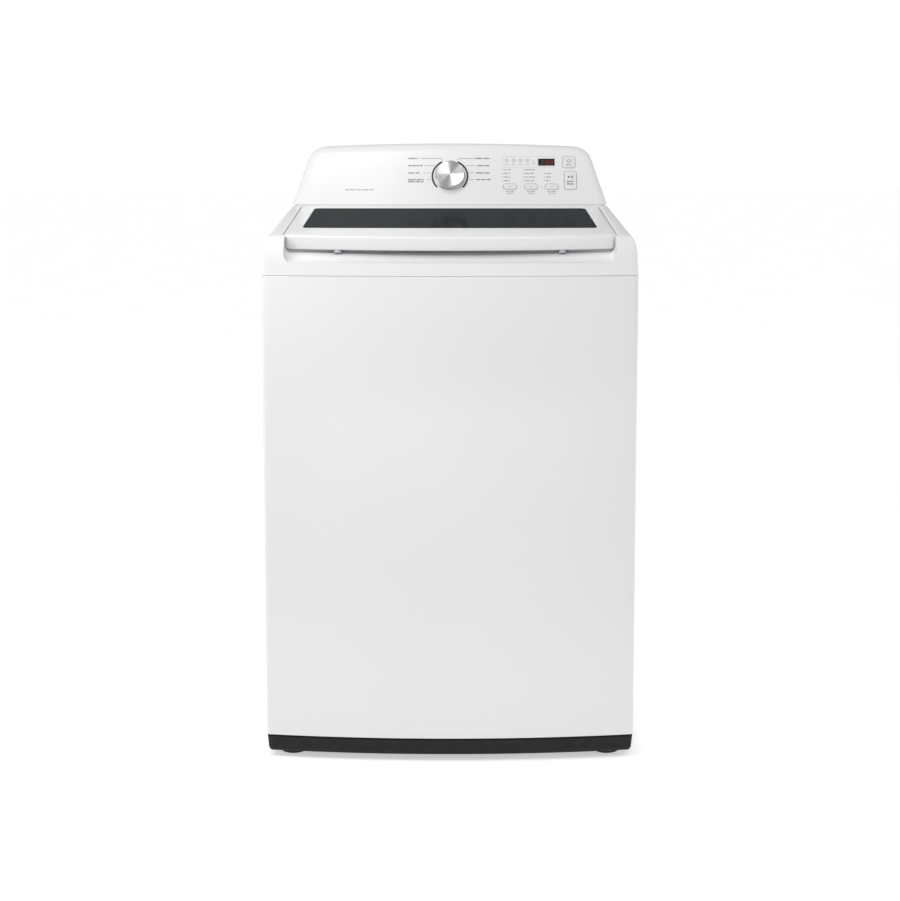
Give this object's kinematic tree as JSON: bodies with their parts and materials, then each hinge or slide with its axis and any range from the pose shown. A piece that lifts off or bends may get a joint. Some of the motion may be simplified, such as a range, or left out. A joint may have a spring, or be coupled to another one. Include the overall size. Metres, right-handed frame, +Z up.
{
  "type": "top load washing machine",
  "caption": "Free-standing top load washing machine: white cabinet on a black base, glass lid, rear console with knob, and an inner basket with impeller drive.",
  "frame": {"origin": "on the floor under the middle of the outer box", "axes": "+Z up, the front faces -Y, +X is to the right when seen from the front"},
  "size_m": [0.686, 0.746, 1.132],
  "materials": {
    "enamel": "gloss white baked enamel",
    "white_plastic": "gloss white",
    "button_plastic": "satin white",
    "black_plastic": "fine texture",
    "grey_plastic": "satin",
    "tub_plastic": "natural polypropylene",
    "rubber": "matte",
    "stainless": "brushed",
    "steel": "zinc plated",
    "galvanised": "galvanised sheet",
    "cast_aluminium": "as cast",
    "winding": "enamelled winding",
    "knob_metal": "radially brushed",
    "board": "solder mask",
    "display": "smoked window",
    "glass": "tinted, tempered"
  },
  "bodies": {
    "cabinet": {"cabinet_wrap": "enamel", "rear_panel": "galvanised", "base_frame": "black_plastic", "top_cover": "white_plastic", "console_housing": "white_plastic", "console_rear_cover": "galvanised", "control_board": "board", "display_window": "display", "dial_encoder": "grey_plastic", "lid_lock_housing": "grey_plastic", "inlet_valve": "white_plastic", "fill_hose": "rubber", "fill_nozzle": "white_plastic", "drain_pump": "black_plastic", "drain_hose": "rubber", "drain_elbow": "black_plastic", "cord_gland": "black_plastic", "leveling_leg_front_left": "steel", "leveling_leg_front_right": "steel", "leveling_leg_rear_left": "steel", "leveling_leg_rear_right": "steel", "suspension_rod_front_left": "steel", "suspension_rod_front_right": "steel", "suspension_rod_rear_left": "steel", "suspension_rod_rear_right": "steel", "suspension_spring_front_left": "steel", "suspension_spring_front_right": "steel", "suspension_spring_rear_left": "steel", "suspension_spring_rear_right": "steel"},
    "lid": {"lid_frame": "white_plastic", "lid_glass": "glass", "lid_inner_frame": "grey_plastic", "hinge_pin_left": "steel", "hinge_pin_right": "steel", "lid_strike": "steel"},
    "tub": {"outer_tub": "tub_plastic", "tub_cover": "tub_plastic", "sump_bellows": "rubber", "bearing_housing": "cast_aluminium", "bearing_upper": "steel", "bearing_lower": "steel", "motor_stator": "winding"},
    "basket": {"basket_shell": "stainless", "basket_base": "tub_plastic", "balance_ring": "grey_plastic", "spin_shaft": "steel"},
    "impeller": {"impeller": "grey_plastic", "drive_shaft": "steel", "motor_rotor": "galvanised"},
    "clutch": {"clutch_coupling": "grey_plastic"},
    "knob": {"cycle_knob": "knob_metal"},
    "lock_bolt": {"lock_bolt": "steel"},
    "power_button": {"button_power": "button_plastic"},
    "start_button": {"button_start_pause": "button_plastic"},
    "option_left_button": {"button_option_left": "button_plastic"},
    "option_middle_button": {"button_option_middle": "button_plastic"},
    "option_right_button": {"button_option_right": "button_plastic"}
  },
  "joints": [
    {"name": "access_lid_hinge", "type": "hinge", "parent": "cabinet", "child": "lid", "pos_m": [0, 0.166, 1.001], "axis": [-1, 0, 0], "range_deg": [0, 100]},
    {"name": "basket_spin", "type": "hinge", "parent": "tub", "child": "basket", "pos_m": [0, -0.028, 0.25], "axis": [0, 0, 1], "continuous": true},
    {"name": "clutch_slide", "type": "slide", "parent": "tub", "child": "clutch", "axis": [0, 0, -1], "range_m": [0, 0.006], "stiffness_N_per_m": 400, "springref_m": -0.002},
    {"name": "cycle_knob_turn", "type": "hinge", "parent": "cabinet", "child": "knob", "pos_m": [0, 0.21642, 1.06604], "axis": [0, -0.891, 0.454], "continuous": true},
    {"name": "impeller_spin", "type": "hinge", "parent": "tub", "child": "impeller", "pos_m": [0, -0.028, 0.25], "axis": [0, 0, 1], "continuous": true},
    {"name": "lid_lock_slide", "type": "slide", "parent": "cabinet", "child": "lock_bolt", "axis": [-1, 0, 0], "range_m": [0, 0.008], "stiffness_N_per_m": 200, "springref_m": -0.002},
    {"name": "press_option_left", "type": "slide", "parent": "cabinet", "child": "option_left_button", "axis": [0, 0.891, -0.454], "range_m": [0, 0.0015], "stiffness_N_per_m": 400, "springref_m": -0.0008},
    {"name": "press_option_middle", "type": "slide", "parent": "cabinet", "child": "option_middle_button", "axis": [0, 0.891, -0.454], "range_m": [0, 0.0015], "stiffness_N_per_m": 400, "springref_m": -0.0008},
    {"name": "press_option_right", "type": "slide", "parent": "cabinet", "child": "option_right_button", "axis": [0, 0.891, -0.454], "range_m": [0, 0.0015], "stiffness_N_per_m": 400, "springref_m": -0.0008},
    {"name": "press_power", "type": "slide", "parent": "cabinet", "child": "power_button", "axis": [0, 0.891, -0.454], "range_m": [0, 0.0015], "stiffness_N_per_m": 400, "springref_m": -0.0008},
    {"name": "press_start_pause", "type": "slide", "parent": "cabinet", "child": "start_button", "axis": [0, 0.891, -0.454], "range_m": [0, 0.0015], "stiffness_N_per_m": 400, "springref_m": -0.0008},
    {"name": "tub_bounce", "type": "slide", "parent": "cabinet", "child": "tub", "axis": [0, 0, 1], "range_m": [-0.02, 0.01], "stiffness_N_per_m": 10000, "springref_m": 0.0265, "deforming": ["suspension_spring_front_left", "suspension_spring_front_right", "suspension_spring_rear_left", "suspension_spring_rear_right", "sump_bellows"]}
  ]
}
